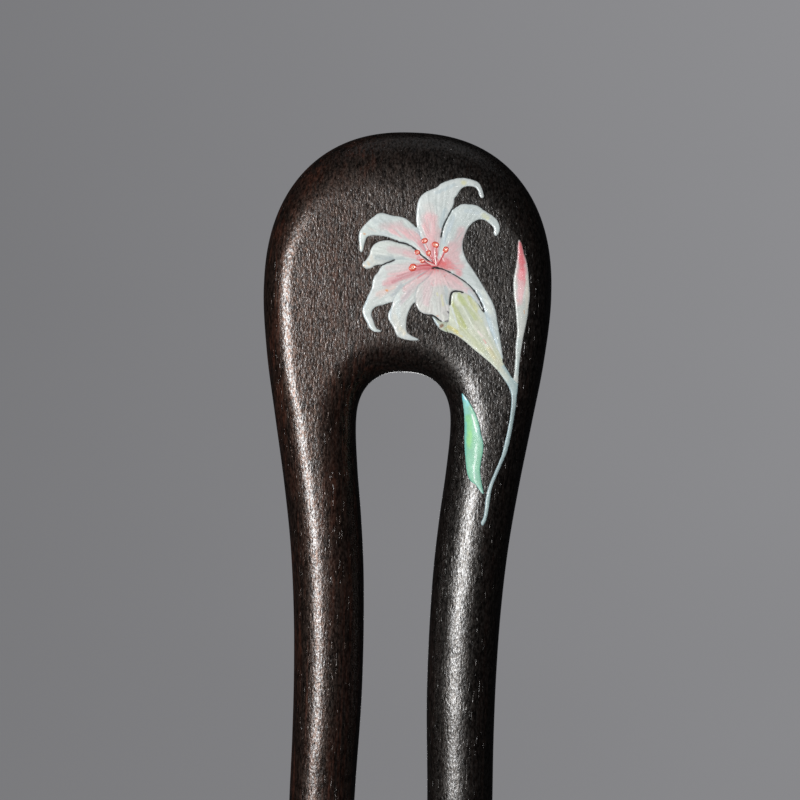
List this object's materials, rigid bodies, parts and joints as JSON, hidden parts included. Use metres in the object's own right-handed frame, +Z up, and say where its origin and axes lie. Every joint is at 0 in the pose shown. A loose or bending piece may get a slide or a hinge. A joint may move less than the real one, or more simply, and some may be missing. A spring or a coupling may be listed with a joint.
{
  "type": "hair fork",
  "caption": "Two-tined wooden hair fork with a rounded head and a dyed shell lily inlaid in its front; it slides through a bun to hold it.",
  "frame": {"origin": "midway between the two tine tips, at their lowest point", "axes": "+Z up the pin from the tips to the head, +X to the right as the inlaid front is seen, +Y out of the plain back, so the inlaid front looks along -Y"},
  "size_m": [0.036, 0.0083, 0.165],
  "materials": {
    "dark_wood": "satin oiled, open pores",
    "line_resin": "black resin, sanded",
    "petal_shell": "polished dyed shell",
    "trumpet_shell": "polished dyed shell",
    "stem_shell": "polished dyed shell",
    "bud_shell": "polished dyed shell",
    "leaf_shell": "polished dyed shell",
    "stamen_enamel": "raised enamel",
    "anther_enamel": "raised enamel"
  },
  "bodies": {
    "root": {"fork_body": "dark_wood", "inlay_bed": "line_resin", "petal_top": "petal_shell", "petal_right": "petal_shell", "petal_upper_left": "petal_shell", "petal_mid_left": "petal_shell", "petal_lower_left": "petal_shell", "petal_bottom": "petal_shell", "petal_front": "petal_shell", "petal_back_tip": "petal_shell", "trumpet": "trumpet_shell", "stem": "stem_shell", "bud": "bud_shell", "leaf": "leaf_shell", "filaments": "stamen_enamel", "anther_dots": "anther_enamel"}
  },
  "joints": []
}
